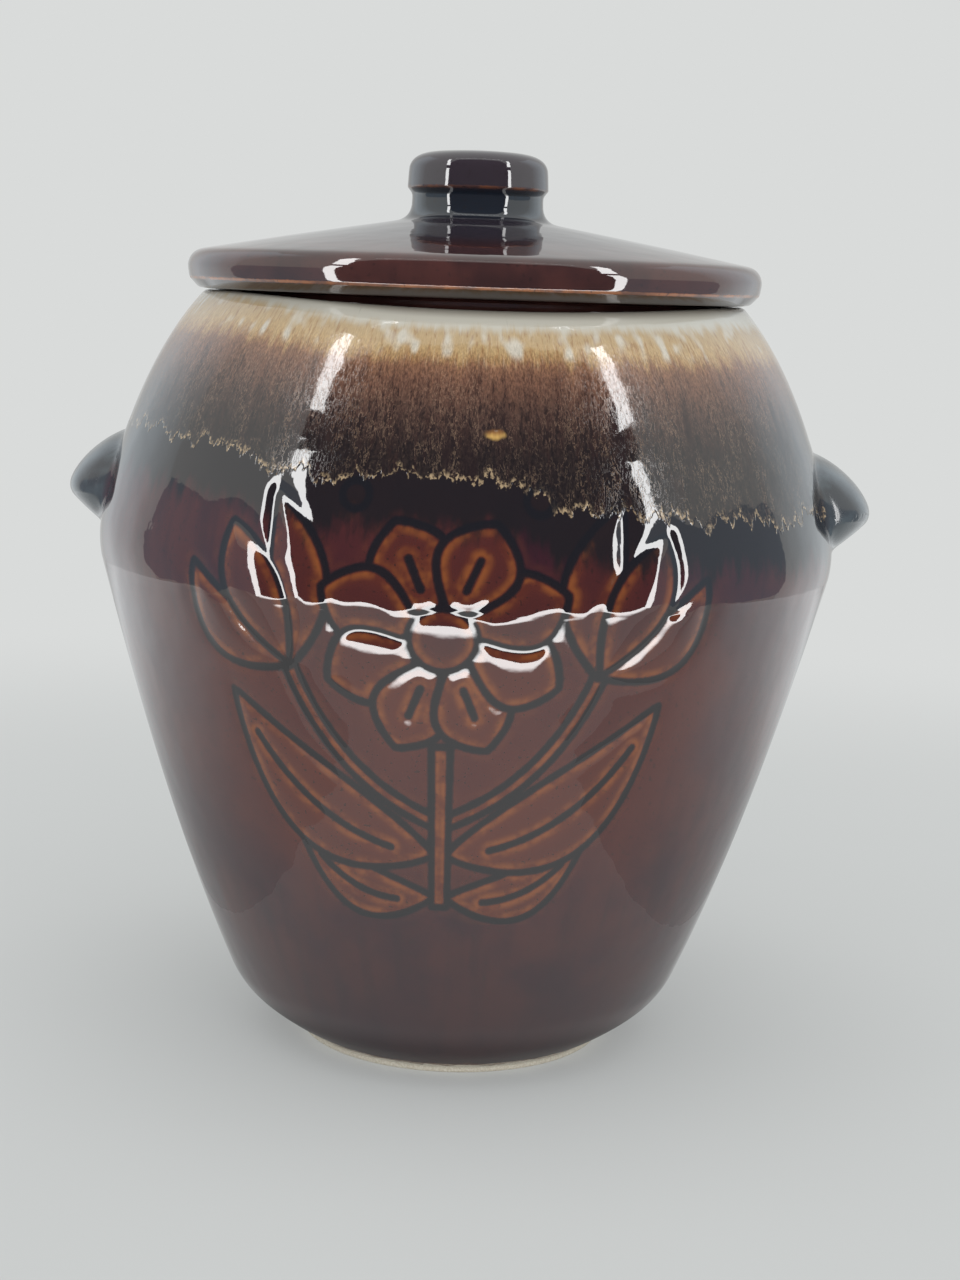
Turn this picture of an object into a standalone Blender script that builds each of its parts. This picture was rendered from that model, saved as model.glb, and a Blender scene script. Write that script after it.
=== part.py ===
"""Lidded stoneware cookie jar: a turned jar with two ear lugs, and a loose domed lid with its knob.

Metres, +Z up. The origin is the middle of the foot, on the surface that the jar stands on. The front
faces -Y and the two lugs lie on the X axis. Outlines are lists of (radius, height) points in XZ.
"""

import math

import bmesh
import bpy

# Jar outside. The belly is the corner where taper and shoulder would meet before it is softened.
BELLY_RADIUS = 0.0992
BELLY_HEIGHT = 0.1360
BELLY_SOFTENING = 0.0070
SHOULDER_HEIGHT = 0.0655
MOUTH_RADIUS = 0.0700
RIM_ANGLE = math.radians(40.0)
HEEL_RADIUS = 0.0622
HEEL_HEIGHT = 0.0202
FOOT_RADIUS = 0.0420
FOOT_BAND = 0.0014
FOOT_EDGE = 0.0005
FOOT_RING_WIDTH = 0.0060
FOOT_RECESS = 0.0022
FOOT_COVE = 0.0018

# Jar inside
WALL = 0.0064
FLOOR = 0.0068
INNER_HEEL_SOFTENING = 0.0140

# Curve handles, as (radius share, height share) of the way from each curve's start to its end
HEEL_HANDLE_SHARES = ((0.545, 0.383), (0.840, 0.600))
TAPER_HANDLE_SHARES = ((0.430, 0.320), (0.732, 0.672))
SHOULDER_HANDLE_SHARES = ((0.252, 0.546), (0.668, 0.845))

# Ear lugs
LUG_WIDTH = 0.0430
LUG_HEIGHT = 0.0270
LUG_REACH = 0.0118
LUG_ABOVE_BELLY = 0.0010
LUG_SKIN = 0.0010
LUG_STATIONS = 14
LUG_STEPS = 4
LUG_TIP_SHARE = 0.47
LUG_END_HEIGHT_SHARE = 0.40
LUG_PLAN_POWER = 2.1
LUG_TOP_SHARES = ((0.0, 1.0), (0.55, 0.93), (0.97, 0.66), (1.0, LUG_TIP_SHARE))
LUG_NOSE_SHARES = ((1.0, LUG_TIP_SHARE), (1.0, 0.39), (0.94, 0.34), (0.80, 0.29))
LUG_UNDERSIDE_SHARES = ((0.80, 0.29), (0.45, 0.155), (0.20, 0.08), (0.0, 0.0))

# Lid. Its heights are measured from the plane of its seat.
SEAT_GAP = 0.0003
LID_OVERHANG = 0.0060
LID_EDGE_HEIGHT = 0.0096
LID_EDGE_SOFTENING = 0.0036
LID_BULGE = 0.0005
LIP_HEIGHT = 0.0026
LIP_WIDTH = 0.0024
LIP_SOFTENING = 0.0009
DOME_RISE = 0.0103
DOME_HANDLE_SHARES = ((0.33, 0.31), (0.67, 0.64))
LID_WALL = 0.0065
FLANGE_CLEARANCE = 0.0030
FLANGE_DEPTH = 0.0070
FLANGE_WIDTH = 0.0046
FLANGE_DRAFT = 0.0004
FLANGE_SOFTENING = 0.0016
UNDERSIDE_COVE = 0.0050

# Knob
KNOB_RADIUS = 0.0187
KNOB_CAP_HEIGHT = 0.0103
KNOB_CROWN = 0.0013
KNOB_DRAFT = 0.0005
KNOB_EDGE_SOFTENING = 0.0070
KNOB_UNDERCUT = 0.0013
KNOB_UNDERCUT_HEIGHT = 0.0016
NECK_HEIGHT = 0.0065
FLARE_SOFTENING = 0.0046

# Facets
TURN_STEPS = 56
CURVE_STEPS = 6
CORNER_STEPS = 3
RIM_STEPS = 8
SMOOTH_ANGLE = math.radians(28.0)
MERGE_DISTANCE = 0.00001


def bezier(points, steps):
    """Points along a cubic curve, with both of its ends."""
    line = []
    for step in range(steps + 1):
        t = step / steps
        weights = ((1 - t) ** 3, 3 * t * (1 - t) ** 2, 3 * t * t * (1 - t), t**3)
        line.append(tuple(sum(w * p[axis] for w, p in zip(weights, points)) for axis in (0, 1)))
    return line


def handled(start, end, handle_shares, steps):
    """A cubic curve from start to end, with its handles as shares of the way between them."""
    handles = [
        tuple(a + share * (b - a) for a, b, share in zip(start, end, shares))
        for shares in handle_shares
    ]
    return bezier([start, *handles, end], steps)


def trimmed(line, reach):
    """The line without its last stretch of length reach, or without its last half if that is less."""
    reach = min(reach, sum(math.dist(a, b) for a, b in zip(line, line[1:])) / 2)
    kept = list(line)
    while math.dist(kept[-2], kept[-1]) <= reach:
        reach -= math.dist(kept[-2], kept[-1])
        kept.pop()
    share = reach / math.dist(kept[-2], kept[-1])
    kept[-1] = tuple(b + share * (a - b) for a, b in zip(kept[-2], kept[-1]))
    if math.dist(kept[-2], kept[-1]) < MERGE_DISTANCE:
        kept.pop(-2)
    return kept


def joined(first, second, softening=0.0, steps=CORNER_STEPS):
    """Two lines that share a corner, as one line. The corner is rounded over the softening length."""
    if not softening:
        return first + second[1:]
    corner = first[-1]
    before = trimmed(first, softening)
    after = trimmed(second[::-1], softening)[::-1]
    curve = []
    for step in range(1, steps):
        t = step / steps
        weights = ((1 - t) ** 2, 2 * t * (1 - t), t * t)
        ends = (before[-1], corner, after[0])
        curve.append(tuple(sum(w * p[axis] for w, p in zip(weights, ends)) for axis in (0, 1)))
    return before + curve + after


def offset(line, distance):
    """The line moved sideways, to the left of its direction."""
    moved = []
    for index, (radius, height) in enumerate(line):
        before = line[max(index - 1, 0)]
        after = line[min(index + 1, len(line) - 1)]
        run, rise = after[0] - before[0], after[1] - before[1]
        length = math.hypot(run, rise)
        moved.append((radius - distance * rise / length, height + distance * run / length))
    return moved


def value_at(line, key, key_axis, value_axis):
    """The line's value on one axis where it passes the key on the other."""
    for a, b in zip(line, line[1:]):
        low, high = sorted((a[key_axis], b[key_axis]))
        if low <= key <= high and high > low:
            share = (key - a[key_axis]) / (b[key_axis] - a[key_axis])
            return a[value_axis] + share * (b[value_axis] - a[value_axis])
    nearest = min(line, key=lambda point: abs(point[key_axis] - key))
    return nearest[value_axis]


# Outside of the jar's wall, from the foot band up to the rim
jar_height = BELLY_HEIGHT + SHOULDER_HEIGHT
bead_radius = WALL / 2
bead_middle = (MOUTH_RADIUS, jar_height - bead_radius)
rim_outside = (
    bead_middle[0] + bead_radius * math.cos(RIM_ANGLE),
    bead_middle[1] + bead_radius * math.sin(RIM_ANGLE),
)
foot_top = (FOOT_RADIUS, FOOT_BAND)
heel_top = (HEEL_RADIUS, HEEL_HEIGHT)
belly = (BELLY_RADIUS, BELLY_HEIGHT)
heel = handled(foot_top, heel_top, HEEL_HANDLE_SHARES, CURVE_STEPS)
taper = handled(heel_top, belly, TAPER_HANDLE_SHARES, CURVE_STEPS)
shoulder = handled(belly, rim_outside, SHOULDER_HANDLE_SHARES, CURVE_STEPS)
outside = joined(joined(heel, taper), shoulder, BELLY_SOFTENING)


def jar_outline():
    """From the middle of the floor up the inside, over the rim, and down the outside to the axis."""
    floor_top = FOOT_RECESS + FLOOR
    wall_inside = [point for point in offset(outside, WALL) if point[1] > floor_top]
    floor_corner = (wall_inside[0][0], floor_top)
    floor = [(0.0, floor_top), floor_corner]
    inside = joined(floor, [floor_corner, *wall_inside], INNER_HEEL_SOFTENING, CURVE_STEPS)
    rim_inside = math.atan2(inside[-1][1] - bead_middle[1], inside[-1][0] - bead_middle[0])
    rim_sweep = rim_inside % math.tau - RIM_ANGLE
    rim = []
    for step in range(1, RIM_STEPS):
        angle = RIM_ANGLE + rim_sweep * (1 - step / RIM_STEPS)
        rim.append(
            (
                bead_middle[0] + bead_radius * math.cos(angle),
                bead_middle[1] + bead_radius * math.sin(angle),
            )
        )
    ring_inner = FOOT_RADIUS - FOOT_RING_WIDTH
    down = [*inside, *rim, *outside[::-1]]
    underside = [
        ([foot_top, (FOOT_RADIUS, 0.0)], 0.0),
        ([(FOOT_RADIUS, 0.0), (ring_inner, 0.0)], FOOT_EDGE),
        ([(ring_inner, 0.0), (ring_inner, FOOT_RECESS)], FOOT_EDGE),
        ([(ring_inner, FOOT_RECESS), (0.0, FOOT_RECESS)], FOOT_COVE),
    ]
    for line, softening in underside:
        down = joined(down, line, softening)
    return down


# Lid sizes that follow the jar's mouth
lid_seat = jar_height + SEAT_GAP
lid_radius = MOUTH_RADIUS + LID_OVERHANG
flange_radius = MOUTH_RADIUS - bead_radius - FLANGE_CLEARANCE
neck_radius = KNOB_RADIUS - KNOB_UNDERCUT
neck_foot = LID_EDGE_HEIGHT + DOME_RISE
cap_base = neck_foot + NECK_HEIGHT + KNOB_UNDERCUT_HEIGHT
knob_top = cap_base + KNOB_CAP_HEIGHT


def lid_outline():
    """From the top of the knob down its outside, over the dome and edge, and back along the underside."""
    edge_radius = lid_radius - LID_BULGE
    cap_shoulder = (KNOB_RADIUS - KNOB_DRAFT, knob_top - KNOB_CROWN)
    cap_edge = (KNOB_RADIUS, cap_base)
    neck_top = (neck_radius, cap_base - KNOB_UNDERCUT_HEIGHT)
    dome_start = (neck_radius, neck_foot)
    dome_end = (edge_radius, LID_EDGE_HEIGHT)
    dome = handled(dome_start, dome_end, DOME_HANDLE_SHARES, CURVE_STEPS)
    side_end = (edge_radius, LIP_HEIGHT)
    bulge = edge_radius + LID_BULGE * 4 / 3
    side_third = (LID_EDGE_HEIGHT - LIP_HEIGHT) / 3
    side = bezier(
        [
            dome_end,
            (bulge, LID_EDGE_HEIGHT - side_third),
            (bulge, LIP_HEIGHT + side_third),
            side_end,
        ],
        CORNER_STEPS,
    )
    lip_end = (edge_radius - LIP_WIDTH, 0.0)
    flange_top = (flange_radius, 0.0)
    flange_foot = (flange_radius - FLANGE_DRAFT, -FLANGE_DEPTH)
    flange_inner = flange_radius - FLANGE_WIDTH
    inner_foot = (flange_inner + FLANGE_DRAFT, -FLANGE_DEPTH)
    cove = (flange_inner, value_at(dome, flange_inner, 0, 1) - LID_WALL)
    under_dome = [cove]
    under_dome += [(r, z - LID_WALL) for r, z in reversed(dome) if r < flange_inner]
    under_dome.append((0.0, neck_foot - LID_WALL))
    pieces = [
        ([cap_shoulder, cap_edge], KNOB_EDGE_SOFTENING, CURVE_STEPS),
        ([cap_edge, neck_top], 0.0, CORNER_STEPS),
        ([neck_top, dome_start], KNOB_UNDERCUT_HEIGHT / 2, CORNER_STEPS),
        (dome, FLARE_SOFTENING, CURVE_STEPS),
        (side, LID_EDGE_SOFTENING, CURVE_STEPS),
        ([side_end, lip_end], 0.0, CORNER_STEPS),
        ([lip_end, flange_top], LIP_SOFTENING, CORNER_STEPS),
        ([flange_top, flange_foot], LIP_SOFTENING, CORNER_STEPS),
        ([flange_foot, inner_foot], FLANGE_SOFTENING, CORNER_STEPS),
        ([inner_foot, cove], FLANGE_SOFTENING, CORNER_STEPS),
        (under_dome, UNDERSIDE_COVE, CORNER_STEPS),
    ]
    outline = [(0.0, knob_top), cap_shoulder]
    for line, softening, steps in pieces:
        outline = joined(outline, line, softening, steps)
    return outline


def turned(name, outline):
    """An object whose outline is turned about Z. It touches the axis at both ends."""
    mesh = bpy.data.meshes.new(name)
    vertices = [(radius, 0.0, height) for radius, height in outline]
    mesh.from_pydata(vertices, [(i, i + 1) for i in range(len(outline) - 1)], [])
    shape = bpy.data.objects.new(name, mesh)
    screw = shape.modifiers.new("Turn", "SCREW")
    screw.axis = "Z"
    screw.steps = TURN_STEPS
    screw.render_steps = TURN_STEPS
    screw.use_merge_vertices = True
    screw.merge_threshold = MERGE_DISTANCE
    return shape


def lug_section(fullness):
    """One slice through a lug, as (distance out of the wall, height) points.

    The slice shrinks towards the lug's ends, where it has sunk below the wall's skin.
    """
    curves = (LUG_TOP_SHARES, LUG_NOSE_SHARES, LUG_UNDERSIDE_SHARES)
    shares = []
    for curve in curves:
        shares += bezier(curve, LUG_STEPS)[1 if shares else 0 :]
    height_share = LUG_END_HEIGHT_SHARE + (1 - LUG_END_HEIGHT_SHARE) * fullness
    section = []
    for reach_share, share in shares:
        out = -LUG_SKIN + (LUG_REACH * reach_share + LUG_SKIN) * fullness
        up = LUG_TIP_SHARE + (share - LUG_TIP_SHARE) * height_share
        section.append((out, BELLY_HEIGHT + LUG_ABOVE_BELLY + LUG_HEIGHT * up))
    root = -WALL / 2
    return [(root, section[0][1]), *section, (root, section[-1][1])]


def lug_mesh():
    """A lug lofted round the wall through slices whose reach follows a rounded half-moon plan."""
    mesh = bpy.data.meshes.new("ear_lug")
    half_angle = LUG_WIDTH / 2 / BELLY_RADIUS
    slices = bmesh.new()
    rings = []
    for station in range(LUG_STATIONS + 1):
        share = math.sin(math.pi * (station / LUG_STATIONS - 0.5))
        fullness = max(0.0, 1 - abs(share) ** LUG_PLAN_POWER) ** (1 / LUG_PLAN_POWER)
        angle = half_angle * share
        ring = []
        for out, height in lug_section(fullness):
            radius = value_at(outside, height, 1, 0) + out
            ring.append(slices.verts.new((radius * math.cos(angle), radius * math.sin(angle), height)))
        rings.append(ring)
    count = len(rings[0])
    for ring, following in zip(rings, rings[1:]):
        for index in range(count):
            after = (index + 1) % count
            slices.faces.new((ring[index], ring[after], following[after], following[index]))
    slices.faces.new(rings[0][::-1])
    slices.faces.new(rings[-1])
    bmesh.ops.recalc_face_normals(slices, faces=slices.faces)
    slices.to_mesh(mesh)
    slices.free()
    return mesh


def add_lug(name, mesh, turn, jar, collection):
    """One of the two lugs, fused to the jar's wall as it is in the fired piece."""
    lug = bpy.data.objects.new(name, mesh)
    lug.rotation_euler.z = turn
    lug.hide_render = True
    lug.display_type = "WIRE"
    collection.objects.link(lug)
    union = jar.modifiers.new(name, "BOOLEAN")
    union.operation = "UNION"
    union.object = lug


def glaze(name, colour, roughness):
    """A glossy fired glaze."""
    material = bpy.data.materials.new(name)
    material.use_nodes = True
    shader = material.node_tree.nodes["Principled BSDF"]
    shader.inputs["Base Color"].default_value = (*colour, 1.0)
    shader.inputs["Roughness"].default_value = roughness
    shader.inputs["Metallic"].default_value = 0.0
    return material


def finish(shape, material):
    """Settles the modifiers into the mesh, shades it smooth between its edges, and colours it."""
    bpy.context.view_layer.update()
    evaluated = shape.evaluated_get(bpy.context.evaluated_depsgraph_get())
    mesh = bpy.data.meshes.new_from_object(evaluated)
    shape.modifiers.clear()
    shape.data = mesh
    mesh.name = shape.name
    mesh.shade_smooth()
    mesh.set_sharp_from_angle(angle=SMOOTH_ANGLE)
    mesh.materials.clear()
    mesh.materials.append(material)


def new_collection(name):
    collection = bpy.data.collections.new(name)
    bpy.context.scene.collection.children.link(collection)
    return collection


def build():
    for existing in list(bpy.data.objects):
        bpy.data.objects.remove(existing, do_unlink=True)
    parts = new_collection("cookie_jar")
    joined_shapes = new_collection("joined_shapes")

    jar = turned("jar", jar_outline())
    parts.objects.link(jar)
    lug = lug_mesh()
    add_lug("right_lug", lug, 0.0, jar, joined_shapes)
    add_lug("left_lug", lug, math.pi, jar, joined_shapes)
    finish(jar, glaze("brown_glaze", (0.075, 0.016, 0.007), 0.08))

    lid = turned("lid", lid_outline())
    lid.location.z = lid_seat
    parts.objects.link(lid)
    finish(lid, glaze("lid_glaze", (0.060, 0.012, 0.006), 0.08))


build()
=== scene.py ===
"""A brown glazed stoneware cookie jar with a loose lid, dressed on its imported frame.

Metres, +Z up, the decorated front faces -Y. Materials work in millimetres of the object's own space.
"""

import math

import bpy
import numpy as np
from mathutils import Matrix, Vector
from mathutils.kdtree import KDTree

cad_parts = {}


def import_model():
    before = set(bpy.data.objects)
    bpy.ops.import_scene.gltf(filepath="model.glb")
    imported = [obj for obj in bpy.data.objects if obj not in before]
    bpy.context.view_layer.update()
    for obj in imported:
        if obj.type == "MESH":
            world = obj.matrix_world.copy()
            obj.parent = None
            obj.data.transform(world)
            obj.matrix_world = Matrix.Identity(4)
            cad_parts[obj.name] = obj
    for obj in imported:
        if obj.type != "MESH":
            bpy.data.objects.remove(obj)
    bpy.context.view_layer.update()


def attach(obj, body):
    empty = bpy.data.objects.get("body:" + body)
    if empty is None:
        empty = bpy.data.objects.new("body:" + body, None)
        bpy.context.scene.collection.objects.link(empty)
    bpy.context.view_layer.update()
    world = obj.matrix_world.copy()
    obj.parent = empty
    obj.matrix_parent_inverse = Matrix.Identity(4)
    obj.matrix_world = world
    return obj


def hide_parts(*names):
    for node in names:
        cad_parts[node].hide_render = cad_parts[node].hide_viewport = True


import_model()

MM = 0.001


def linked(name, data):
    """A new object in the scene."""
    piece = bpy.data.objects.new(name, data)
    bpy.context.scene.collection.objects.link(piece)
    return piece



# The jar's outline, as the frame has it
BELLY_RADIUS = 99.2
BELLY_HEIGHT = 136.0
BELLY_SOFTENING = 7.0
JAR_HEIGHT = 201.5
MOUTH_RADIUS = 70.0
RIM_ANGLE = math.radians(40.0)
HEEL_RADIUS = 62.2
HEEL_HEIGHT = 20.2
FOOT_RADIUS = 42.0
FOOT_BAND = 1.4
FOOT_EDGE = 0.5
FOOT_RING_WIDTH = 6.0
FOOT_RECESS = 2.2
FOOT_COVE = 1.8
WALL = 6.4
FLOOR = 6.8
INNER_HEEL_SOFTENING = 14.0
HEEL_SHARES = ((0.545, 0.383), (0.84, 0.6))
TAPER_SHARES = ((0.43, 0.32), (0.732, 0.672))
SHOULDER_SHARES = ((0.252, 0.546), (0.668, 0.845))

# The ear lugs
LUG_WIDTH = 43.0
LUG_HEIGHT = 27.0
LUG_REACH = 11.8
LUG_FOOT = 137.0
LUG_TIP_SHARE = 0.47
LUG_END_HEIGHT_SHARE = 0.4
LUG_PLAN_POWER = 2.1
LUG_SHARES = (
    ((0.0, 1.0), (0.55, 0.93), (0.97, 0.66), (1.0, 0.47)),
    ((1.0, 0.47), (1.0, 0.39), (0.94, 0.34), (0.8, 0.29)),
    ((0.8, 0.29), (0.45, 0.155), (0.2, 0.08), (0.0, 0.0)),
)
LUG_FILLET = 1.6

# The lid's outline, with heights measured from its seat
LID_SEAT = 201.8
LID_RADIUS = 76.0
LID_EDGE_HEIGHT = 9.6
LID_EDGE_SOFTENING = 3.6
LID_BULGE = 0.5
LIP_HEIGHT = 2.6
LIP_WIDTH = 2.4
LIP_SOFTENING = 0.9
LIP_CORNER = 0.5
DOME_RISE = 10.3
DOME_SHARES = ((0.33, 0.31), (0.67, 0.64))
LID_WALL = 6.5
FLANGE_RADIUS = 63.8
FLANGE_DEPTH = 7.0
FLANGE_WIDTH = 4.6
FLANGE_DRAFT = 0.4
FLANGE_SOFTENING = 1.6
UNDERSIDE_COVE = 5.0
KNOB_RADIUS = 18.7
KNOB_CAP_HEIGHT = 10.3
KNOB_CROWN = 1.3
KNOB_DRAFT = 0.5
KNOB_EDGE_SOFTENING = 7.0
KNOB_UNDERCUT = 1.3
KNOB_UNDERCUT_HEIGHT = 1.6
KNOB_CORNER = 0.35
NECK_HEIGHT = 6.5
FLARE_SOFTENING = 4.6


# Outlines
def bezier(points, steps):
    """Points along a curve of three or four control points."""
    t = np.linspace(0, 1, steps + 1)[:, None]
    p = [np.array(point, float) for point in points]
    if len(p) == 3:
        return (1 - t) ** 2 * p[0] + 2 * t * (1 - t) * p[1] + t * t * p[2]
    return (1 - t) ** 3 * p[0] + 3 * t * (1 - t) ** 2 * p[1] + 3 * t * t * (1 - t) * p[2] + t**3 * p[3]


def handled(start, end, shares, steps=60):
    """A curve from start to end, with handles given as shares of the way across and up."""
    start, end = np.array(start, float), np.array(end, float)
    first, second = (start + np.array(share) * (end - start) for share in shares)
    return bezier((start, first, second, end), steps)


def lengths(line):
    """How far along the line each of its points lies."""
    return np.r_[0, np.cumsum(np.hypot(*np.diff(line, axis=0).T))]


def trimmed(line, reach):
    """The line without its last stretch."""
    run = lengths(line)
    reach = min(reach, run[-1] / 2)
    keep = run < run[-1] - reach - 1e-6
    end = [np.interp(run[-1] - reach, run, line[:, axis]) for axis in (0, 1)]
    return np.vstack([line[keep], end])


def joined(first, second, softening=0.0, steps=12):
    """Two lines in one. The rounding of their corner reaches as far as softening along each."""
    first, second = np.array(first, float), np.array(second, float)
    if not softening:
        return np.vstack([first, second[1:]])
    before = trimmed(first, softening)
    after = trimmed(second[::-1], softening)[::-1]
    corner = bezier((before[-1], first[-1], after[0]), steps)
    return np.vstack([before, corner[1:-1], after])


def offset(line, distance):
    """The line moved to its left."""
    run = np.gradient(line, axis=0)
    run /= np.hypot(*run.T)[:, None]
    return line + distance * np.column_stack([-run[:, 1], run[:, 0]])


def resampled(line, spacing):
    """The line with its points set apart by spacing, a length or a function of the points."""
    run = lengths(line)
    gap = spacing(line) if callable(spacing) else np.full(len(line), spacing)
    count = np.r_[0, np.cumsum(np.diff(run) * (1 / gap[1:] + 1 / gap[:-1]) / 2)]
    stops = np.linspace(0, count[-1], max(2, int(round(count[-1])) + 1))
    where = np.interp(stops, count, run)
    return np.column_stack([np.interp(where, run, line[:, axis]) for axis in (0, 1)])


bead = WALL / 2
bead_middle = np.array([MOUTH_RADIUS, JAR_HEIGHT - bead])
rim_outside = bead_middle + bead * np.array([math.cos(RIM_ANGLE), math.sin(RIM_ANGLE)])
heel = handled((FOOT_RADIUS, FOOT_BAND), (HEEL_RADIUS, HEEL_HEIGHT), HEEL_SHARES)
taper = handled((HEEL_RADIUS, HEEL_HEIGHT), (BELLY_RADIUS, BELLY_HEIGHT), TAPER_SHARES)
shoulder = handled((BELLY_RADIUS, BELLY_HEIGHT), rim_outside, SHOULDER_SHARES)
outside = joined(joined(heel, taper), shoulder, BELLY_SOFTENING)


def inner_outline():
    """From the rim's top down the inside to the middle of the floor."""
    floor_top = FOOT_RECESS + FLOOR
    wall = offset(outside, WALL)
    wall = wall[wall[:, 1] > floor_top]
    corner = (wall[0][0], floor_top)
    inside = joined([(0.0, floor_top), corner], np.vstack([[corner], wall]), INNER_HEEL_SOFTENING)
    end = math.atan2(*(inside[-1] - bead_middle)[::-1]) % math.tau
    angles = np.linspace(RIM_ANGLE, end, 25)
    rim = bead_middle + bead * np.column_stack([np.cos(angles), np.sin(angles)])
    return np.vstack([rim[:-1], inside[::-1]])


def foot_outline():
    """From the glaze's lower end round the foot ring to the middle of the underside."""
    ring_inner = FOOT_RADIUS - FOOT_RING_WIDTH
    line = np.array([(FOOT_RADIUS, FOOT_BAND), (FOOT_RADIUS, 0.0)])
    line = joined(line, [(FOOT_RADIUS, 0.0), (ring_inner, 0.0)], FOOT_EDGE)
    line = joined(line, [(ring_inner, 0.0), (ring_inner, FOOT_RECESS)], FOOT_EDGE)
    return joined(line, [(ring_inner, FOOT_RECESS), (0.0, FOOT_RECESS)], FOOT_COVE)


def lid_outline():
    """From the knob's middle down its outside, and back along the underside."""
    edge_radius = LID_RADIUS - LID_BULGE
    neck_radius = KNOB_RADIUS - KNOB_UNDERCUT
    neck_foot = LID_EDGE_HEIGHT + DOME_RISE
    cap_base = neck_foot + NECK_HEIGHT + KNOB_UNDERCUT_HEIGHT
    top = cap_base + KNOB_CAP_HEIGHT
    cap_shoulder = (KNOB_RADIUS - KNOB_DRAFT, top - KNOB_CROWN)
    cap_edge = (KNOB_RADIUS, cap_base)
    neck_top = (neck_radius, cap_base - KNOB_UNDERCUT_HEIGHT)
    dome_start = (neck_radius, neck_foot)
    dome_end = (edge_radius, LID_EDGE_HEIGHT)
    dome = handled(dome_start, dome_end, DOME_SHARES, 48)
    bulge = edge_radius + LID_BULGE * 4 / 3
    third = (LID_EDGE_HEIGHT - LIP_HEIGHT) / 3
    side_end = (edge_radius, LIP_HEIGHT)
    side = bezier((dome_end, (bulge, LID_EDGE_HEIGHT - third), (bulge, LIP_HEIGHT + third), side_end), 24)
    lip_end = (edge_radius - LIP_WIDTH, 0.0)
    flange_top = (FLANGE_RADIUS, 0.0)
    flange_foot = (FLANGE_RADIUS - FLANGE_DRAFT, -FLANGE_DEPTH)
    flange_inner = FLANGE_RADIUS - FLANGE_WIDTH
    inner_foot = (flange_inner + FLANGE_DRAFT, -FLANGE_DEPTH)
    ceiling = dome[dome[:, 0] < flange_inner][::-1] - (0, LID_WALL)
    cove = (flange_inner, np.interp(flange_inner, dome[:, 0], dome[:, 1]) - LID_WALL)
    under_dome = np.vstack([[cove], ceiling, [(0.0, neck_foot - LID_WALL)]])
    line = np.array([(0.0, top), cap_shoulder])
    for piece, softening in (
        ([cap_shoulder, cap_edge], KNOB_EDGE_SOFTENING),
        ([cap_edge, neck_top], KNOB_CORNER),
        ([neck_top, dome_start], KNOB_UNDERCUT_HEIGHT / 2),
        (dome, FLARE_SOFTENING),
        (side, LID_EDGE_SOFTENING),
        ([side_end, lip_end], LIP_CORNER),
        ([lip_end, flange_top], LIP_SOFTENING),
        ([flange_top, flange_foot], LIP_SOFTENING),
        ([flange_foot, inner_foot], FLANGE_SOFTENING),
        ([inner_foot, cove], FLANGE_SOFTENING),
        (under_dome, UNDERSIDE_COVE),
    ):
        line = joined(line, piece, softening)
    return line


# Ornament
# depth and width of the cuts, and of the soft hollow that each lies in
CUT_DEPTH = 0.38
CUT_WIDTH = 1.9
HOLLOW_DEPTH = 0.24
HOLLOW_WIDTH = 3.8
# how proud the shapes between the cuts stand, and from how far off a cut
PUFF = 0.32
PUFF_WIDTH = 4.5
# both grow weaker low on the wall: shares by height
LOW_CUTS = ((112, 144), (0.4, 1.0))
LOW_PUFFS = ((92, 108), (0.45, 1.0))

LEAF_FULLNESS = 0.82
CUT_SPACING = 0.25
# a line with more than this share of its length in a shape is drawn on it, not covered by it
OWN_SHARE = 0.97


def arc_leaf(base, tip, width, bend=0.0, steps=40, blunt=0.75):
    """A closed leaf or petal from base to tip. Bend swings its middle sideways, as a share of its length."""
    base, tip = np.array(base, float), np.array(tip, float)
    along = tip - base
    length = np.hypot(*along)
    across = np.array([-along[1], along[0]]) / length
    t = np.linspace(0, 1, steps)
    half = width / 2 * np.sin(math.pi * t**blunt) ** LEAF_FULLNESS
    spine = base + t[:, None] * along + (bend * length * 4 * t * (1 - t))[:, None] * across
    return np.vstack([spine + half[:, None] * across, (spine - half[:, None] * across)[-2:0:-1]])


def spine_of(base, tip, bend, start=0.0, end=1.0, steps=24):
    """The middle line of such a leaf, or a stretch of it."""
    base, tip = np.array(base, float), np.array(tip, float)
    along = tip - base
    across = np.array([-along[1], along[0]])
    t = np.linspace(start, end, steps)
    return base + t[:, None] * along + (bend * 4 * t * (1 - t))[:, None] * across


def ring(middle, radius, steps=40):
    """Points on a circle."""
    t = np.linspace(0, math.tau, steps, endpoint=False)
    return np.array(middle) + radius * np.column_stack([np.cos(t), np.sin(t)])


def stalk(line, width):
    """A closed strip of one width along a line."""
    return np.vstack([offset(line, width / 2), offset(line, -width / 2)[::-1]])


def inside(points, outline):
    """Which points lie inside a closed outline."""
    hit = np.zeros(len(points), bool)
    a, b = outline, np.roll(outline, -1, axis=0)
    for (x0, y0), (x1, y1) in zip(a, b):
        if y0 != y1:
            crosses = (points[:, 1] > min(y0, y1)) & (points[:, 1] <= max(y0, y1))
            hit ^= crosses & (points[:, 0] < x0 + (points[:, 1] - y0) * (x1 - x0) / (y1 - y0))
    return hit


def covered(points, shapes):
    """Which points lie inside one of the shapes."""
    hit = np.zeros(len(points), bool)
    for shape in shapes:
        hit |= inside(points, shape)
    return hit


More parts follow.
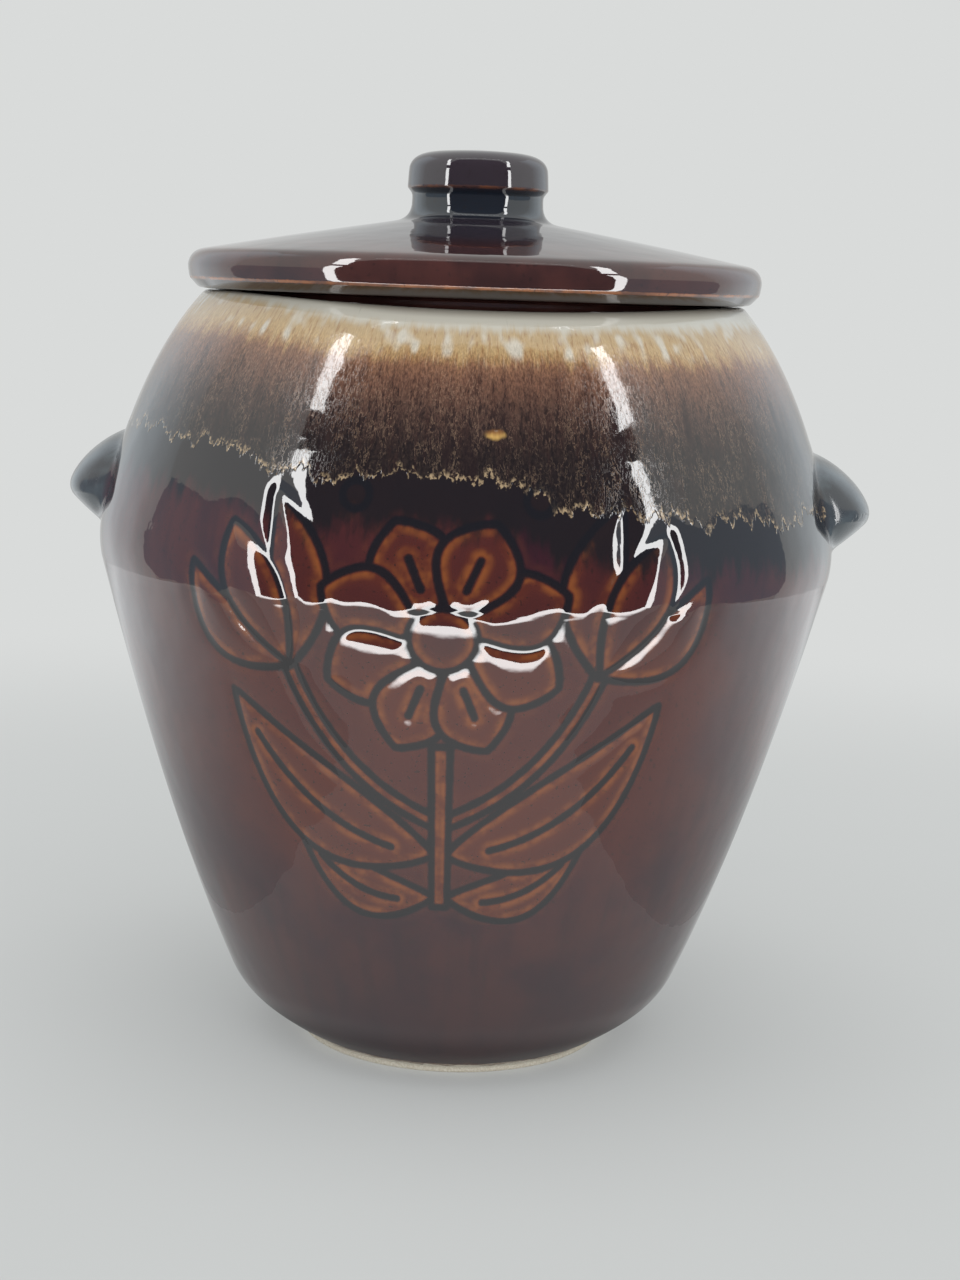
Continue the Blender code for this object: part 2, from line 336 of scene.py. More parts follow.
def ornament():
    """The bouquet on the front, in millimetres round the wall and up it: (closed shapes, cut lines)."""
    bloom = np.array((0.0, 124.5))
    shapes = [ring(bloom, 7.8)]
    lines = []
    for index in range(8):
        turn = math.radians(22.5 + 45 * index)
        out = np.array((math.sin(turn), math.cos(turn)))
        shapes.append(arc_leaf(bloom + 4 * out, bloom + 29.5 * out, 18.6, blunt=1.35))
        if abs(out[1]) > 0.9:
            lines.append(bloom + np.outer(np.linspace(13.0, 20.5, 8), out))
    shapes.append(stalk(np.column_stack([np.zeros(20), np.linspace(55.0, 98.0, 20)]), 4.6))
    for side in (1, -1):
        flip = np.array((side, 1))
        tulip = np.array((37.0, 116.0))
        lean = np.array((0.4, 0.917))
        shapes.append(arc_leaf(tulip, tulip + 36 * lean, 15.0, blunt=1.1) * flip)
        shapes.append(arc_leaf(tulip - (0.5, 0.5), (40.5, 156.5), 14.0, 0.14, blunt=1.0) * flip)
        shapes.append(arc_leaf(tulip + (0.5, -0.5), (62.0, 138.5), 14.0, -0.17, blunt=1.0) * flip)
        shapes.append(stalk(spine_of((1.0, 78.0), tulip, -0.12, 0.0, 0.99), 3.4) * flip)
        for base, tip, width, bend, vein in (
            ((2.0, 69.0), (54.5, 107.5), 23.0, -0.15, (0.16, 0.84)),
            ((2.0, 57.5), (41.0, 74.5), 14.0, -0.17, (0.22, 0.8)),
        ):
            shapes.append(arc_leaf(base, tip, width, bend, blunt=0.9) * flip)
            lines.append(spine_of(base, tip, bend, *vein) * flip)
        shapes.append(ring(np.array((21.0, 157.0)) * flip, 3.2, 24))
    return shapes, lines


def visible_lines(shapes, lines):
    """Dense points of every cut, without the stretches that a shape in front covers."""
    kept = []
    for index, shape in enumerate(shapes):
        closed = resampled(np.vstack([shape, shape[:1]]), CUT_SPACING)
        kept.append(closed[~covered(closed, shapes[:index])])
    for line in lines:
        dense = resampled(line, CUT_SPACING)
        covers = [shape for shape in shapes if inside(dense, shape).mean() <= OWN_SHARE]
        kept.append(dense[~covered(dense, covers)])
    return np.vstack(kept)


# Meshes
# the smooth surfaces stay inside the facets of the frame
JAR_WITHIN = 0.9984
LID_WITHIN = 0.9996

# the fired rim sags at the front
RIM_DIP = 2.2
RIM_DIP_ANGLE = math.radians(6.0)
RIM_DIP_SPREAD = math.radians(34.0)
RIM_DIP_FROM = 183.0

# the ornament is drawn flat and wrapped round the wall at this radius
CARVING_RADIUS = 92.0
CARVING_HALF_ANGLE = math.radians(42)
# the distance to the nearest cut, where there is none
FAR = 99.0

# heights between which the mesh is fine round the ornament and the lugs
DENSE_FROM = 50.0
DENSE_TO = 167.0
DENSE_SECTORS = ((39.0, 0.39), (48.0, 1.2), (74.0, 2.0), (106.0, 0.85), (180.0, 2.4))
PLAIN_SECTORS = ((180.0, 2.0),)
LID_SECTORS = ((180.0, 1.5),)
# spacing of the rings of points, by height or by radius
WALL_SPACING = ((0, 14, 30, 48, 53, 164, 168, 190, 202), (1.0, 1.2, 1.7, 1.6, 0.62, 0.62, 1.4, 1.4, 0.9))
INSIDE_SPACING = ((0, 20, 60, 180, 195, 202), (2.2, 2.2, 4.0, 4.0, 0.8, 0.7))
FOOT_SPACING = ((0, 30, 34, 43), (4.0, 3.0, 0.5, 0.5))
# how far the lid's outline turns between two rings, and the range of their spacing
LID_TURN = 0.16
LID_SPACING = (0.25, 2.4)
LID_SAMPLING = 0.15
TURN_SMOOTHING = 9

# how deep inside the wall the lugs start, over what depth their colour sets in, and their fillets' room
LUG_SINK = 1.0
LUG_BLEND = 2.5
LUG_MARGIN = 6.0


def nearest(points, cuts):
    """Distance from each point to the nearest cut."""
    tree = KDTree(len(cuts))
    for index, (across, up) in enumerate(cuts):
        tree.insert((across, up, 0.0), index)
    tree.balance()
    return np.array([tree.find((across, up, 0.0))[2] for across, up in points])


def spread(sectors):
    """Angles round the axis from (end angle, spacing) sectors of one half."""
    half = [0.0]
    for end, spacing in sectors:
        start = half[-1]
        count = max(1, round((end - start) / spacing))
        half += list(start + (end - start) * np.arange(1, count + 1) / count)
    half = np.array(half)
    return np.radians(np.r_[half, 360 - half[-2:0:-1]])


def from_front(turn):
    """An angle from the front, between minus and plus half a turn."""
    return (turn + math.pi) % math.tau - math.pi


def place(radius, height, turn):
    """Points in space from their radius, height and angle from the front."""
    return np.stack([radius * np.sin(turn), -radius * np.cos(turn), height + 0 * turn], axis=-1)


class Shell:
    """Rings of points round the axis, joined into one closed surface."""

    def __init__(self):
        self.points = []
        self.faces = []
        self.marks = {}
        self.count = 0

    def add(self, positions, **marks):
        """Adds points with values for the materials, and gives their numbers."""
        first = self.count
        self.points.append(positions)
        self.count += len(positions)
        for name in {**self.marks, **marks}:
            column = self.marks.setdefault(name, [np.zeros(first)] if first else [])
            column.append(np.broadcast_to(marks.get(name, 0.0), len(positions)).astype(float))
        return np.arange(first, self.count)

    def quads(self, lower, upper):
        """Faces between two rings of the same angles. The outside is seen with lower below upper."""
        after_lower, after_upper = np.roll(lower, -1), np.roll(upper, -1)
        self.faces += np.column_stack([lower, after_lower, after_upper, upper]).tolist()

    def stitch(self, lower, lower_turns, upper, upper_turns):
        """Triangles between two rings of different angles that both start at the front."""
        i = j = 0
        low = np.r_[lower_turns, math.tau]
        high = np.r_[upper_turns, math.tau]
        while i < len(lower) or j < len(upper):
            a, b = lower[i % len(lower)], upper[j % len(upper)]
            if j == len(upper) or (i < len(lower) and low[i + 1] <= high[j + 1]):
                self.faces.append([a, lower[(i + 1) % len(lower)], b])
                i += 1
            else:
                self.faces.append([a, upper[(j + 1) % len(upper)], b])
                j += 1

    def cap(self, ring_ids, height, up):
        """Closes a ring with a fan to the axis."""
        centre = self.add(np.array([(0, 0, height)]))[0]
        for a, b in zip(ring_ids, np.roll(ring_ids, -1)):
            self.faces.append([a, b, centre] if up else [b, a, centre])

    def close(self, last, line, turns, up, **marks):
        """Rings along a line, from one that is there to the axis."""
        for radius, height in line[1:-1]:
            sag = rim_dip(height, turns)
            new = self.add(place(radius, height - sag, turns), gap=FAR, sag=sag, **marks)
            self.quads(*((last, new) if up else (new, last)))
            last = new
        self.cap(last, line[-1][1], up)

    def object(self, name):
        mesh = bpy.data.meshes.new(name)
        points = np.vstack(self.points) * MM
        mesh.from_pydata(points.tolist(), [], self.faces)
        for mark, columns in self.marks.items():
            attribute = mesh.attributes.new(mark, "FLOAT", "POINT")
            attribute.data.foreach_set("value", np.concatenate(columns).astype(np.float32))
        mesh.validate()
        mesh.shade_smooth()
        return linked(name, mesh)


def lug_out(height, turn):
    """How far the lugs stand out of the wall at a height and an angle from the front."""
    half_angle = LUG_WIDTH / 2 / BELLY_RADIUS
    share = np.abs(np.abs(from_front(turn)) - math.pi / 2) / half_angle
    fullness = np.maximum(0.0, 1 - share**LUG_PLAN_POWER) ** (1 / LUG_PLAN_POWER)
    section = np.vstack([bezier(curve, 30) for curve in LUG_SHARES])
    order = np.argsort(section[:, 1], kind="stable")
    up, out = section[order, 1], section[order, 0]
    height_share = LUG_END_HEIGHT_SHARE + (1 - LUG_END_HEIGHT_SHARE) * fullness
    level = (height - LUG_FOOT) / LUG_HEIGHT
    level = LUG_TIP_SHARE + (level - LUG_TIP_SHARE) / height_share
    reach = np.interp(level, up, out, left=0.0, right=0.0)
    return np.where(fullness > 0, (LUG_REACH + LUG_SINK) * reach * fullness - LUG_SINK, -LUG_SINK)


def soft_max(a, b, radius):
    """The larger of two heights, with a fillet where they meet."""
    blend = np.clip(0.5 + 0.5 * (a - b) / radius, 0, 1)
    return b + (a - b) * blend + radius * blend * (1 - blend)


def rim_dip(height, turn):
    """How far the fired rim sags."""
    angle = from_front(turn - RIM_DIP_ANGLE)
    along = np.clip(1 - (angle / (2 * RIM_DIP_SPREAD)) ** 2, 0, 1) ** 2
    up = np.clip((height - RIM_DIP_FROM) / (JAR_HEIGHT - RIM_DIP_FROM), 0, 1)
    return RIM_DIP * along * up * up * (3 - 2 * up)


def carved(heights, turns):
    """Rows of distances to the nearest cut, and of ones where a shape of the ornament covers the wall."""
    shapes, lines = ornament()
    around = from_front(turns)
    near = np.abs(around) < CARVING_HALF_ANGLE
    flat = np.array([(turn * CARVING_RADIUS, height) for height in heights for turn in around[near]])
    gaps = np.full((len(heights), len(turns)), FAR)
    gaps[:, near] = nearest(flat, visible_lines(shapes, lines)).reshape(len(heights), -1)
    panels = np.zeros((len(heights), len(turns)))
    panels[:, near] = covered(flat, shapes).reshape(len(heights), -1)
    return zip(gaps, panels)


def carved_radius(radius, height, gap, panel):
    """The wall's radius with the cuts in it and the shapes between them a little proud."""
    cut = CUT_DEPTH * np.exp(-((gap / CUT_WIDTH) ** 2)) + HOLLOW_DEPTH * np.exp(-((gap / HOLLOW_WIDTH) ** 2))
    puff = PUFF * panel * (1 - np.exp(-((gap / PUFF_WIDTH) ** 2)))
    return radius - np.interp(height, *LOW_CUTS) * cut + np.interp(height, *LOW_PUFFS) * puff


def jar_mesh():
    shell = Shell()
    fine, plain = spread(DENSE_SECTORS), spread(PLAIN_SECTORS)
    rows = resampled(outside, lambda line: np.interp(line[:, 1], *WALL_SPACING))
    carvings = carved([height for _, height in rows if DENSE_FROM < height < DENSE_TO], fine)
    below = below_turns = None
    for radius, height in rows:
        turns = plain
        marks = {"gap": FAR, "panel": 0.0, "lug": 0.0}
        if DENSE_FROM < height < DENSE_TO:
            turns = fine
            gap, panel = next(carvings)
            lug = np.zeros(len(turns))
            r = carved_radius(radius, height, gap, panel)
            if LUG_FOOT - LUG_MARGIN < height < LUG_FOOT + LUG_HEIGHT + LUG_MARGIN:
                out = lug_out(height, turns)
                lug = np.clip((out + LUG_SINK) / LUG_BLEND, 0, 1)
                r = radius + soft_max(out, r - radius, LUG_FILLET)
            marks = {"gap": gap, "panel": panel, "lug": lug}
        else:
            r = np.full(len(turns), radius)
        sag = rim_dip(height, turns)
        new = shell.add(place(r * JAR_WITHIN, height - sag, turns), sag=sag, **marks)
        if below is None:
            lowest_ring = new
        elif len(below) == len(new):
            shell.quads(below, new)
        else:
            shell.stitch(below, below_turns, new, turns)
        below, below_turns = new, turns

    inner = resampled(inner_outline(), lambda line: np.interp(line[:, 1], *INSIDE_SPACING))
    shell.close(below, inner, plain, True, inner=1.0)
    foot = resampled(foot_outline(), lambda line: np.interp(line[:, 0], *FOOT_SPACING))
    shell.close(lowest_ring, foot, plain, False, under=1.0)
    return shell.object("jar_stoneware")


def lid_spacing(points):
    """Rings that lie closer where the outline bends."""
    tangent = np.gradient(points, axis=0)
    turn = np.unwrap(np.arctan2(tangent[:, 1], tangent[:, 0]))
    bend = np.abs(np.gradient(turn)) / np.maximum(np.hypot(*tangent.T), 1e-6)
    bend = np.pad(bend, TURN_SMOOTHING // 2, mode="edge")
    bend = np.convolve(bend, np.ones(TURN_SMOOTHING) / TURN_SMOOTHING, mode="valid")
    return np.clip(LID_TURN / np.maximum(bend, 1e-3), *LID_SPACING)


def lid_mesh():
    shell = Shell()
    turns = spread(LID_SECTORS)
    rows = resampled(resampled(lid_outline(), LID_SAMPLING), lid_spacing)
    rings = [shell.add(place(radius * LID_WITHIN, LID_SEAT + height, turns)) for radius, height in rows[1:-1]]
    for above, below in zip(rings, rings[1:]):
        shell.quads(below, above)
    shell.cap(rings[0], LID_SEAT + rows[0][1], True)
    shell.cap(rings[-1], LID_SEAT + rows[-1][1], False)
    return shell.object("lid_stoneware")


# Materials
class Nodes:
    """Builds the nodes of a material or the world. Most methods give back an output socket."""

    def __init__(self, name, owners=bpy.data.materials, base="Principled BSDF", output="Material Output"):
        self.owner = owners.new(name)
        self.owner.use_nodes = True
        self.tree = self.owner.node_tree
        self.shader = self.tree.nodes[base]
        self.output = self.tree.nodes[output]

    def node(self, kind, *values, **settings):
        """A node with these settings and values for its first inputs."""
        node = self.tree.nodes.new("ShaderNode" + kind)
        for key, value in settings.items():
            setattr(node, key, value)
        for socket, value in zip(node.inputs, values):
            self.put(socket, value)
        return node

    def put(self, socket, value):
        if isinstance(value, bpy.types.NodeSocket):
            self.tree.links.new(value, socket)
        elif socket.type == "RGBA":
            socket.default_value = (*value, 1.0)
        else:
            socket.default_value = value

    def math(self, operation, a, b=0.0, c=0.0):
        return self.node("Math", a, b, c, operation=operation).outputs[0]

    def add(self, a, b):
        return self.math("ADD", a, b)

    def times(self, product, *factors):
        for factor in factors:
            product = self.math("MULTIPLY", product, factor)
        return product

    def size(self, a):
        return self.math("ABSOLUTE", a)

    def larger(self, a, b):
        return self.math("MAXIMUM", a, b)

    def rest(self, share):
        return self.math("SUBTRACT", 1.0, share)

    def scaled(self, a, factor, shift):
        return self.math("MULTIPLY_ADD", a, factor, shift)

    def shaken(self, value, noise, reach):
        """A value that noise moves by up to half of reach each way."""
        return self.add(value, self.scaled(noise, reach, -reach / 2))

    def step(self, value, low, high, to_low=0.0, to_high=1.0, smooth=True):
        """A change from to_low to to_high while value goes from low to high, which may be the smaller one."""
        kind = "SMOOTHSTEP" if smooth else "LINEAR"
        node = self.node("MapRange", value, low, high, to_low, to_high, interpolation_type=kind)
        return node.outputs["Result"]

    def band(self, value, start, full, full_end, end):
        """One between full and full_end, and nothing before start and after end."""
        return self.times(self.step(value, start, full), self.step(value, end, full_end))

    def mix(self, share, a, b, blend="MIX"):
        node = self.node("Mix", data_type="RGBA", blend_type=blend)
        for socket, value in ((0, share), (6, a), (7, b)):
            self.put(node.inputs[socket], value)
        return node.outputs[2]

    def coat(self, base, colour, *shares):
        """A colour laid over a base, as dense as the product of the shares."""
        return self.mix(self.times(*shares), base, colour)

    def stretched(self, vector, x, y, z):
        return self.node("VectorMath", vector, (x, y, z), operation="MULTIPLY").outputs[0]

    def noise(self, size, detail=2.0, roughness=0.5, vector=None):
        """Noise from about 0.3 to 0.7, whose spots are about size across."""
        vector = self.position if vector is None else vector
        return self.node("TexNoise", vector, 0.0, 1.0 / size, detail, roughness).outputs["Fac"]

    def drawn(self, squeeze, size, detail=2.0, roughness=0.5):
        """Noise in upright streaks: squeeze is their width as a share of their length."""
        return self.noise(size, detail, roughness, self.stretched(self.around, 1, 1, squeeze))

    def ramp(self, share, stops):
        node = self.node("ValToRGB", share)
        elements = node.color_ramp.elements
        while len(elements) > 1:
            elements.remove(elements[0])
        for index, (at, colour) in enumerate(stops):
            element = elements[0] if index == 0 else elements.new(at)
            element.position = at
            element.color = (*colour, 1.0)
        return node.outputs["Color"]

    def attribute(self, name):
        return self.node("Attribute", attribute_name=name).outputs["Fac"]

    def place(self):
        """The three parts of the object position in millimetres."""
        self.position = self.stretched(self.node("TexCoord").outputs["Object"], 1000, 1000, 1000)
        return self.node("SeparateXYZ", self.position).outputs

    def radius(self, x, y):
        return self.math("SQRT", self.add(self.times(x, x), self.times(y, y)))

    def wrap(self, x, y, z, radius):
        """Draws places out to one radius, where streaks run straight down, and gives them without height."""
        x, y = (self.times(self.math("DIVIDE", part, radius), CARVING_RADIUS) for part in (x, y))
        self.around = self.node("CombineXYZ", x, y, z).outputs[0]
        return self.node("CombineXYZ", x, y, 0.0).outputs[0]

    def clay(self):
        """Bare gritty clay: its colour and the noise of its grit."""
        grit = self.noise(0.55, 3.0, 0.65)
        return self.mix(self.step(grit, 0.35, 0.65), CLAY, CLAY_DARK), grit

    def speckled(self, colour):
        return self.coat(colour, SPECK, self.step(self.noise(0.9, 0.0), 0.72, 0.78), 0.5)

    def glow(self, colour, strength=1.0):
        return self.node("Emission", colour, strength).outputs[0]

    def blend(self, share, first, second):
        return self.node("MixShader", share, first, second).outputs[0]

    def surface(self, shader):
        self.put(self.output.inputs["Surface"], shader)
        return self.owner

    def glazed(self, colour, roughness, relief):
        """Ends a glaze, whose relief is in millimetres."""
        bump = self.node("Bump", 1.0, MM)
        self.put(bump.inputs["Height"], relief)
        for name, value in (("Base Color", colour), ("Roughness", roughness), ("Normal", bump.outputs[0])):
            self.put(self.shader.inputs[name], value)
        self.shader.inputs["IOR"].default_value = GLAZE_IOR
        return self.owner


GLAZE_IOR = 1.9

CLAY = (0.7, 0.655, 0.555)
CLAY_DARK = (0.57, 0.505, 0.4)
CLAY_EDGE = (0.22, 0.075, 0.02)
MAHOGANY = (0.036, 0.0076, 0.014)
MAHOGANY_RED = (0.068, 0.015, 0.0145)
MAHOGANY_DARK = (0.018, 0.0055, 0.01)
PANEL = (0.098, 0.0195, 0.01)
PANEL_LOW = (0.124, 0.025, 0.0105)
FIELD = (0.11, 0.021, 0.012)
BREAK = (0.34, 0.105, 0.022)
POOL = (0.005, 0.0062, 0.009)
NEAR_BLACK = (0.008, 0.007, 0.0085)
SPECK = (0.012, 0.007, 0.006)
LUG_BLUE = (0.058, 0.075, 0.086)
LUG_DARK = (0.032, 0.038, 0.045)
SPOT_DARK = (0.22, 0.1, 0.032)
SPOT_PALE = (0.64, 0.39, 0.12)
INSIDE_BROWN = (0.05, 0.014, 0.007)
INSIDE_RED = (0.09, 0.024, 0.01)

LID_BROWN = (0.036, 0.013, 0.012)
LID_RED = (0.066, 0.021, 0.017)
# painted shade for the lip under the lid's edge
LID_LIP_SHADE = (0.014, 0.0075, 0.007)
KNOB_TONE = (0.029, 0.021, 0.028)
NECK_POOL = (0.0035, 0.0105, 0.0175)

# the light second dip, by height in millimetres
DIP_LOW = 150.0
DIP_HIGH = 202.0
DIP_BANDS = (
    (151.0, (0.01, 0.007, 0.007)),
    (161.0, (0.011, 0.0075, 0.0075)),
    (167.0, (0.016, 0.01, 0.009)),
    (172.0, (0.036, 0.02, 0.016)),
    (177.0, (0.07, 0.037, 0.027)),
    (183.5, (0.145, 0.07, 0.044)),
    (187.2, (0.21, 0.104, 0.058)),
    (189.2, (0.34, 0.205, 0.095)),
    (191.5, (0.44, 0.3, 0.145)),
    (196.0, (0.42, 0.3, 0.155)),
    (200.0, (0.46, 0.37, 0.24)),
)
DIP_HOLE = (0.01, 0.007, 0.007)
DIP_RUN = (0.026, 0.011, 0.009)
DIP_BROAD_RUN = (0.016, 0.008, 0.008)
OCHRE_STROKE = (0.255, 0.125, 0.05)
OCHRE_HAIR = (0.6, 0.48, 0.3)
WHITE_PATCH = (0.56, 0.53, 0.46)
LACE_LOW = (0.3, 0.205, 0.135)
LACE_HIGH = (0.3, 0.19, 0.13)
FROTH = (0.46, 0.335, 0.2)
RIM_PALE = (0.53, 0.508, 0.44)
# painted shade: the lid's shadow on the rim's top edge
RIM_TOP_SHADE = (0.19, 0.165, 0.135)


def dip_colours(n, z, above, streaks, long_streaks):
    """The light second dip: grey-white rim, ochre streaks, then brown with a lace of tan flecks."""
    hair = n.drawn(0.11, 0.55, 3.0, 0.65)
    pulled = n.shaken(z, streaks, 5.0)
    pulled = n.shaken(pulled, long_streaks, 8.0)
    pulled = n.shaken(pulled, hair, 3.0)
    stops = [((height - DIP_LOW) / (DIP_HIGH - DIP_LOW), colour) for height, colour in DIP_BANDS]
    bands = n.ramp(n.step(pulled, DIP_LOW, DIP_HIGH, smooth=False), stops)

    # short broken strokes and hair in the ochre, and a few soft white patches
    ochre = n.band(z, 185.5, 188.5, 195.5, 198.0)
    strokes = n.step(n.drawn(0.24, 0.85, 3.0, 0.65), 0.52, 0.64)
    bands = n.coat(bands, OCHRE_STROKE, n.times(strokes, ochre), 0.6)
    bands = n.coat(bands, OCHRE_HAIR, n.times(n.step(hair, 0.48, 0.34), ochre), 0.3)
    patches = n.step(n.drawn(0.75, 4.6, 1.0, 0.4), 0.54, 0.74)
    bands = n.coat(bands, WHITE_PATCH, patches, n.band(z, 187.8, 191.0, 195.0, 198.5), 0.85)

    # darker runs, and dark holes between the flecks
    lower = n.step(z, 188.5, 184.0)
    runs = n.step(n.drawn(0.12, 1.8, 2.0, 0.6), 0.52, 0.66)
    bands = n.coat(bands, DIP_RUN, n.times(runs, lower), 0.5)
    fray = n.drawn(0.34, 1.0, 3.0, 0.66)
    holes = n.times(n.step(fray, 0.53, 0.63), n.step(z, 187.0, 168.0, 0.25, 0.75))
    bands = n.coat(bands, DIP_HOLE, holes, lower)

    # a lace of flecks that grows clearer downwards
    lace = n.step(n.size(n.scaled(fray, 1.0, -0.5)), 0.03, 0.004)
    dots = n.step(n.drawn(0.45, 0.42, 1.0), 0.57, 0.7)
    lace = n.larger(lace, n.times(dots, 0.45))
    share = n.step(n.drawn(0.4, 5.5), 0.34, 0.64, 0.25, 1.0)
    clumpy = n.step(n.drawn(0.55, 2.4, 2.0, 0.6), 0.4, 0.58, 0.25, 1.25)
    clumpy = n.mix(n.step(z, 182.0, 170.0), (1.0, 1.0, 1.0), clumpy)
    room = n.times(lower, n.step(z, 182.0, 166.0, 0.46, 0.34), clumpy)
    tan = n.mix(n.step(z, 164.0, 184.0), LACE_LOW, LACE_HIGH)
    bands = n.coat(bands, tan, n.times(lace, share), room)

    # fine grain, which fades out towards the clean pale rim
    grain = n.step(n.drawn(0.45, 0.38, 2.0, 0.6), 0.3, 0.7, -0.36, 0.36)
    grain = n.add(1.0, n.times(grain, n.step(z, 186.0, 195.0, 1.0, 0.15)))
    bands = n.mix(1.0, bands, grain, blend="MULTIPLY")
    rim_level = n.shaken(n.shaken(z, long_streaks, 4.0), hair, 2.0)
    bands = n.coat(bands, RIM_PALE, n.step(rim_level, 195.2, 198.4))
    # painted shade: the rim's top edge darkened as if the lid shaded it
    bands = n.coat(bands, RIM_TOP_SHADE, n.step(z, 199.2, 200.9, 0.0, 0.6))
    broad = n.step(n.drawn(0.1, 4.5, 1.0), 0.6, 0.72)
    bands = n.coat(bands, DIP_BROAD_RUN, broad, n.step(z, 182.0, 176.0), 0.7)

    # froth in clumps where the dip ends
    froth = n.step(n.noise(0.8, 2.0, 0.6), 0.42, 0.58)
    clumps = n.step(n.noise(3.2, 1.0), 0.38, 0.56, 0.3, 1.0)
    froth = n.times(n.step(above, n.scaled(clumps, 1.6, 0.5), 0.1), froth)
    return n.mix(n.times(froth, n.scaled(clumps, 0.6, 0.32)), bands, FROTH), lace


def kiln_spot(n, x, y, z):
    """A small tan blister that the kiln left on the front: (share of it, height of it)."""
    offs = []
    for part, middle, half in ((x, 10.2, 2.5), (z, 171.6, 1.25)):
        offs.append(n.math("POWER", n.scaled(part, 1 / half, -middle / half), 2.0))
    off = n.math("SQRT", n.add(*offs))
    off = n.shaken(off, n.noise(1.3, 1.0), 0.5)
    front = n.step(y, -60.0, -70.0)
    return n.times(n.step(off, 1.25, 0.4), front), n.times(n.step(off, 1.25, 0.0), front)


def jar_glaze():
    n = Nodes("jar_drip_glaze")
    x, y, z = n.place()
    cut_gap, panel, inner, lug = (n.attribute(name) for name in ("gap", "panel", "inner", "lug"))
    radius = n.radius(x, y)
    level = n.wrap(x, y, z, radius)
    streaks = n.drawn(0.08, 1.1, 3.0, 0.6)
    long_streaks = n.drawn(0.045, 3.4)

    # the tilted, ragged lower edge of the light second dip, which the lugs hide
    edge = n.scaled(x, -0.105, 158.6)
    hump = n.step(n.size(n.scaled(x, 1.0, -2.0)), 30.0, 8.0)
    edge = n.add(edge, n.times(hump, n.step(y, -40.0, -70.0, 0.0, 2.6)))
    edge = n.shaken(edge, n.noise(22.0, 1.0, vector=level), 9.0)
    edge = n.shaken(edge, n.noise(5.0, vector=level), 11.0)
    edge = n.shaken(edge, n.drawn(0.35, 1.5, 2.0, 0.6), 6.5)
    above = n.math("SUBTRACT", z, edge)
    dipped = n.step(n.shaken(lug, streaks, 0.4), 0.2, 0.06)
    dipped = n.times(n.step(above, -0.1, 0.2), dipped)
    dip_height = n.add(n.add(z, n.attribute("sag")), n.step(x, -10.0, -68.0, 0.0, -3.8))
    bands, lace = dip_colours(n, dip_height, above, streaks, long_streaks)

    # the dark glaze below, warmer round the ornament
    cloud = n.step(n.noise(26.0, 3.0, 0.55), 0.36, 0.64)
    body = n.mix(cloud, MAHOGANY, MAHOGANY_RED)
    runs = n.step(n.drawn(0.12, 5.0, 3.0, 0.55), 0.45, 0.68)
    body = n.coat(body, MAHOGANY_DARK, runs, 0.35)
    body = n.coat(body, MAHOGANY_DARK, n.step(z, 62.0, 8.0), 0.55)
    field = n.times(n.step(y, -45.0, -80.0), n.band(z, 48.0, 74.0, 112.0, 128.0))
    body = n.coat(body, FIELD, field, 0.6)
    panel_tone = n.mix(n.step(z, 128.0, 112.0), PANEL, PANEL_LOW)
    body = n.coat(body, panel_tone, panel, n.step(cut_gap, 5.0, 0.8, 0.4, 0.95))
    under_dip = n.step(n.shaken(above, long_streaks, 9.0), -15.0, -8.0)
    body = n.coat(body, NEAR_BLACK, under_dip, 0.95)
    body = n.speckled(body)

    # glaze pools in the cuts and breaks thin on their brinks
    brink_noise = n.noise(5.0, 2.0, 0.6)
    brink = n.times(n.step(brink_noise, 0.34, 0.66), n.scaled(panel, 0.85, 0.15))
    brink = n.times(brink, n.band(cut_gap, 0.75, 1.5, 1.5, 3.4), n.step(above, -6.0, -16.0))
    body = n.coat(body, BREAK, brink, 0.52)
    colour = n.mix(dipped, body, bands)
    pool = n.step(n.shaken(cut_gap, brink_noise, 0.7), 1.3, 0.6)
    colour = n.coat(colour, POOL, pool, n.step(above, 2.0, 0.0, 0.3, 0.96))
    lug_tone = n.mix(n.step(n.noise(7.0, 2.0, 0.6), 0.38, 0.62), LUG_DARK, LUG_BLUE)
    colour = n.coat(colour, lug_tone, n.step(lug, 0.0, 0.55), 0.9)
    spot, blister = kiln_spot(n, x, y, z)
    spot_tone = n.mix(n.step(n.shaken(z, streaks, 3.0), 172.6, 170.9), SPOT_DARK, SPOT_PALE)
    colour = n.coat(colour, spot_tone, spot)

    # inside: the dip's cream runs over the rim, then plain brown
    inside_edge = n.step(n.shaken(z, streaks, 10.0), 186.0, 189.5)
    inside_colour = n.mix(inside_edge, n.mix(cloud, INSIDE_BROWN, INSIDE_RED), bands)
    colour = n.coat(colour, inside_colour, inner)

    # bare clay at the foot, under a thin brown edge of the glaze
    clay, grit = n.clay()
    outer = n.rest(inner)
    waterline = n.shaken(z, n.noise(6.0, 2.0, 0.55), -4.6)
    bare_side = n.times(n.step(waterline, 3.1, 2.7), n.step(radius, 34.0, 35.0))
    wiped = n.step(n.shaken(radius, n.noise(3.0), 3.0), 33.4, 34.2)
    bare = n.times(n.larger(bare_side, n.times(n.attribute("under"), wiped)), outer)
    colour = n.coat(colour, clay, bare)
    glaze_end = n.times(n.step(waterline, 4.4, 3.4), n.rest(bare))
    glaze_end = n.times(glaze_end, n.times(n.step(radius, 40.0, 41.5), outer))
    colour = n.coat(colour, CLAY_EDGE, glaze_end, 0.35)

    rough = n.scaled(n.noise(9.0), 0.04, 0.01)
    rough = n.add(rough, n.times(dipped, n.scaled(lace, 0.02, 0.008)))
    rough = n.larger(rough, n.times(lug, 0.17))
    rough = n.larger(rough, n.times(bare, 0.85))
    relief = n.times(n.noise(9.0, 1.0, 0.4), 0.14)
    for part, depth in (
        (n.noise(1.8, 1.0), 0.008),
        (n.noise(24.0, 0.0), 0.28),
        (n.times(lace, dipped), 0.003),
        (n.step(above, -0.4, 0.6), 0.06),
        (blister, 0.35),
        (n.times(grit, bare), 0.25),
    ):
        relief = n.add(relief, n.times(part, depth))
    return n.glazed(colour, rough, relief)


